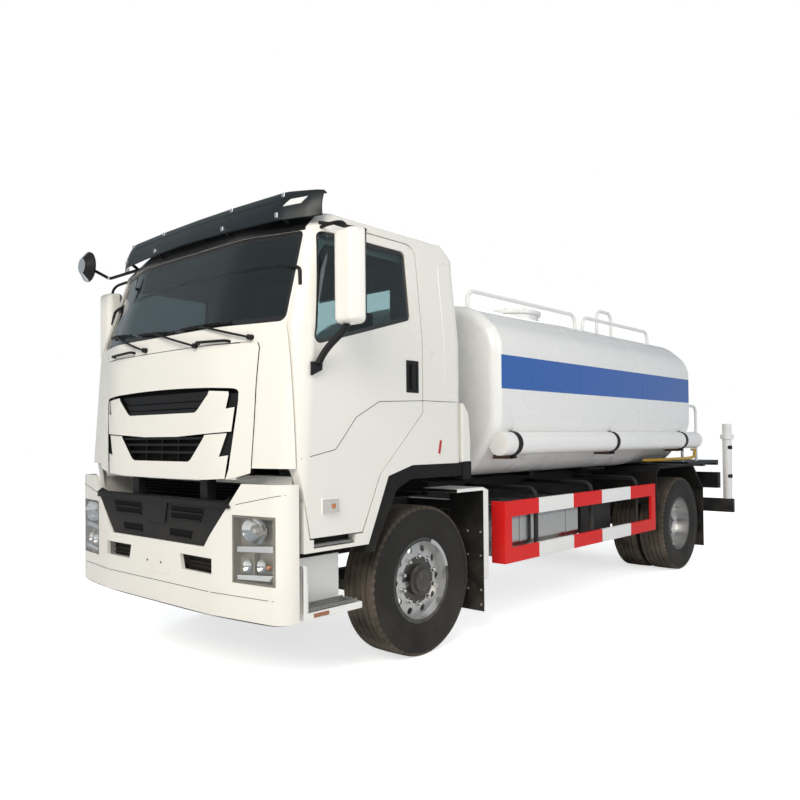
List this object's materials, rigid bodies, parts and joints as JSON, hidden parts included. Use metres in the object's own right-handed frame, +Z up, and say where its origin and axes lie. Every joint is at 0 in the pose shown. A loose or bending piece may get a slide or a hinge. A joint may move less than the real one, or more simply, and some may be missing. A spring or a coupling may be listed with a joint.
{
  "type": "tanker truck",
  "caption": "Two-axle water tanker truck: forward-control cab that tilts, ladder chassis, long rounded tank, side guards, rear deck with railing and spray pipes.",
  "frame": {"origin": "on the ground, under the middle of the vehicle", "axes": "+X to the vehicle's left, +Y rearwards (the front faces -Y), +Z up"},
  "size_m": [3.17, 7.8118, 3.0748],
  "materials": {
    "cab_paint": "warm off-white gloss paint",
    "tank_paint": "white gloss paint with a blue band",
    "guard_paint": "red and white gloss paint",
    "frame_paint": "black chassis paint",
    "black_plastic": "grained",
    "visor_plastic": "dark blue-grey",
    "glass": "tinted",
    "lamp_lens": "clear",
    "tyre": "matt",
    "rim_steel": "silver paint",
    "rear_rim_steel": "cream paint",
    "cast": "black painted casting",
    "polished": "polished",
    "white_pipe": "white gloss paint",
    "yellow_pipe": "yellow paint",
    "seat_fabric": "woven",
    "dash_plastic": "grained"
  },
  "bodies": {
    "chassis": {"ladder_frame": "frame_paint", "front_axle_beam": "cast", "rear_axle_housing": "cast", "leaf_springs": "cast", "engine_block": "cast", "drive_shaft": "frame_paint", "radiator": "black_plastic", "bumper": "cab_paint", "bumper_grille": "black_plastic", "headlamps": "lamp_lens", "entry_steps": "cab_paint", "front_mudguards": "cab_paint", "tank_shell": "tank_paint", "tank_saddles": "frame_paint", "roof_rails": "white_pipe", "hose_tubes": "white_pipe", "hose_bands": "frame_paint", "side_guards": "guard_paint", "guard_hangers": "frame_paint", "fuel_tank": "polished", "fuel_straps": "frame_paint", "battery_box": "frame_paint", "air_tanks": "frame_paint", "rear_mudguards": "black_plastic", "rear_platform": "frame_paint", "platform_railing": "white_pipe", "underrun_bar": "frame_paint", "rear_lamps": "black_plastic", "spray_pipes": "white_pipe", "water_pump": "yellow_pipe"},
    "cab": {"cab_shell": "cab_paint", "cab_glass": "glass", "arch_liners": "black_plastic", "sun_visor": "visor_plastic", "front_mirror": "black_plastic", "seats": "seat_fabric", "dashboard": "dash_plastic", "steering_wheel": "dash_plastic"},
    "door_left": {"door_left": "cab_paint", "door_glass_left": "glass", "mirror_left": "cab_paint"},
    "steer_left": {"knuckle_left": "cast"},
    "wheel_front_left": {"tyre_front_left": "tyre", "rim_front_left": "rim_steel"},
    "wheel_rear_left": {"tyres_rear_left": "tyre", "rims_rear_left": "rear_rim_steel"},
    "door_right": {"door_right": "cab_paint", "door_glass_right": "glass", "mirror_right": "cab_paint"},
    "steer_right": {"knuckle_right": "cast"},
    "wheel_front_right": {"tyre_front_right": "tyre", "rim_front_right": "rim_steel"},
    "wheel_rear_right": {"tyres_rear_right": "tyre", "rims_rear_right": "rear_rim_steel"},
    "front_lid": {"front_panel": "cab_paint", "panel_grille": "black_plastic"},
    "manhole_lid": {"manhole_lid": "tank_paint"},
    "cannon_swivel": {"cannon_swivel": "yellow_pipe"},
    "cannon_barrel": {"cannon_barrel": "yellow_pipe"}
  },
  "joints": [
    {"name": "cab_tilt", "type": "hinge", "parent": "chassis", "child": "cab", "pos_m": [0, -3.785, 1.18], "axis": [1, 0, 0], "range_deg": [0, 45]},
    {"name": "door_left_hinge", "type": "hinge", "parent": "cab", "child": "door_left", "pos_m": [1.24, -3.666, 1.5], "axis": [0, 0, -1], "range_deg": [0, 70]},
    {"name": "steer_left", "type": "hinge", "parent": "chassis", "child": "steer_left", "pos_m": [0.85, -2.485, 0.522], "axis": [0, 0, 1], "range_deg": [-38, 38]},
    {"name": "spin_front_left", "type": "hinge", "parent": "steer_left", "child": "wheel_front_left", "pos_m": [1.032, -2.485, 0.522], "axis": [1, 0, 0], "continuous": true},
    {"name": "spin_rear_left", "type": "hinge", "parent": "chassis", "child": "wheel_rear_left", "pos_m": [1.085, 2.015, 0.522], "axis": [1, 0, 0], "continuous": true},
    {"name": "door_right_hinge", "type": "hinge", "parent": "cab", "child": "door_right", "pos_m": [-1.24, -3.666, 1.5], "axis": [0, 0, 1], "range_deg": [0, 70]},
    {"name": "steer_right", "type": "hinge", "parent": "chassis", "child": "steer_right", "pos_m": [-0.85, -2.485, 0.522], "axis": [0, 0, 1], "range_deg": [-38, 38]},
    {"name": "spin_front_right", "type": "hinge", "parent": "steer_right", "child": "wheel_front_right", "pos_m": [-1.032, -2.485, 0.522], "axis": [1, 0, 0], "continuous": true},
    {"name": "spin_rear_right", "type": "hinge", "parent": "chassis", "child": "wheel_rear_right", "pos_m": [-1.085, 2.015, 0.522], "axis": [1, 0, 0], "continuous": true},
    {"name": "front_lid_hinge", "type": "hinge", "parent": "cab", "child": "front_lid", "pos_m": [0, -3.81302, 2.151], "axis": [-1, 0, 0], "range_deg": [0, 80]},
    {"name": "manhole_hinge", "type": "hinge", "parent": "chassis", "child": "manhole_lid", "pos_m": [0, 0.09, 2.8303], "axis": [1, 0, 0], "range_deg": [0, 100]},
    {"name": "cannon_turn", "type": "hinge", "parent": "chassis", "child": "cannon_swivel", "pos_m": [0, 3.075, 1.965], "axis": [0, 0, 1], "continuous": true},
    {"name": "cannon_lift", "type": "hinge", "parent": "cannon_swivel", "child": "cannon_barrel", "pos_m": [0, 3.075, 2.22], "axis": [1, 0, 0], "range_deg": [-15, 60]}
  ],
  "couplings": [
    {"joint": "steer_right", "follows": "steer_left", "ratio": 1}
  ]
}
